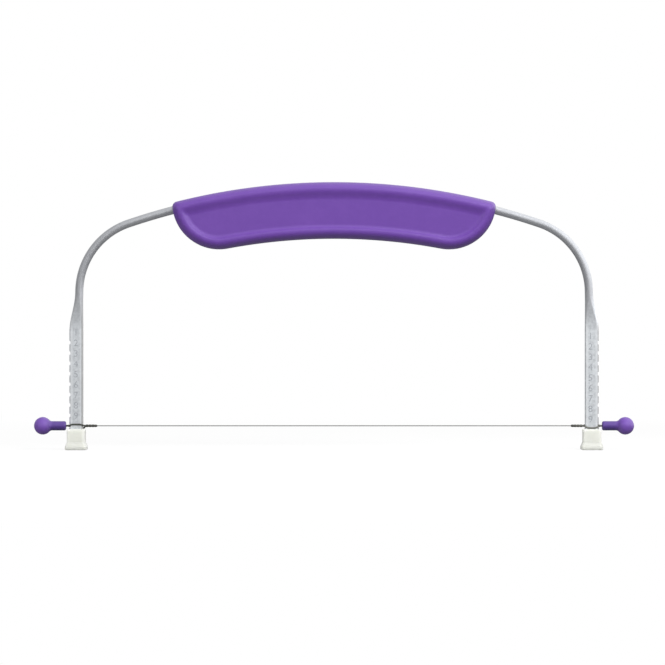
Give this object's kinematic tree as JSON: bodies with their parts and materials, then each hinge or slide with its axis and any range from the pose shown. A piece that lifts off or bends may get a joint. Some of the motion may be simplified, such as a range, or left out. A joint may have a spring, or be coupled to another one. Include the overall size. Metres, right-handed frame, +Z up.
{
  "type": "cake leveler",
  "caption": "Hand-held cake leveler: a bent steel bow with a plastic grip holds a taut cutting wire that hooks into notches on its legs to set the height of the cut.",
  "frame": {"origin": "on the resting plane, midway between the two feet", "axes": "+X along the cutting wire, +Y away from the numbered side, +Z up towards the handle"},
  "size_m": [0.348, 0.02, 0.1551],
  "materials": {
    "steel": "satin plated steel rod, rolled flat and stamped at the legs",
    "wire_steel": "bright drawn wire",
    "dark_steel": "dark spring wire and crimped sleeves",
    "purple_plastic": "satin moulded plastic",
    "knob_plastic": "satin moulded plastic",
    "milky_plastic": "natural, slightly translucent soft plastic"
  },
  "bodies": {
    "bow": {"bow": "steel", "handle_front_shell": "purple_plastic", "handle_back_shell": "purple_plastic", "left_foot": "milky_plastic", "right_foot": "milky_plastic"},
    "wire": {"cutting_wire": "wire_steel"},
    "left_hook": {"left_hook_loop": "dark_steel", "left_ferrule": "dark_steel", "left_knob": "knob_plastic"},
    "right_hook": {"right_hook_loop": "dark_steel", "right_ferrule": "dark_steel", "right_knob": "knob_plastic"}
  },
  "joints": [
    {"name": "cut_height", "type": "slide", "parent": "bow", "child": "wire", "axis": [0, 0, 1], "range_m": [0, 0.04824]},
    {"name": "left_hook_seat", "type": "slide", "parent": "wire", "child": "left_hook", "axis": [1, 0, 0], "range_m": [0, 0.0006]},
    {"name": "right_hook_seat", "type": "slide", "parent": "wire", "child": "right_hook", "axis": [-1, 0, 0], "range_m": [0, 0.0006]}
  ]
}
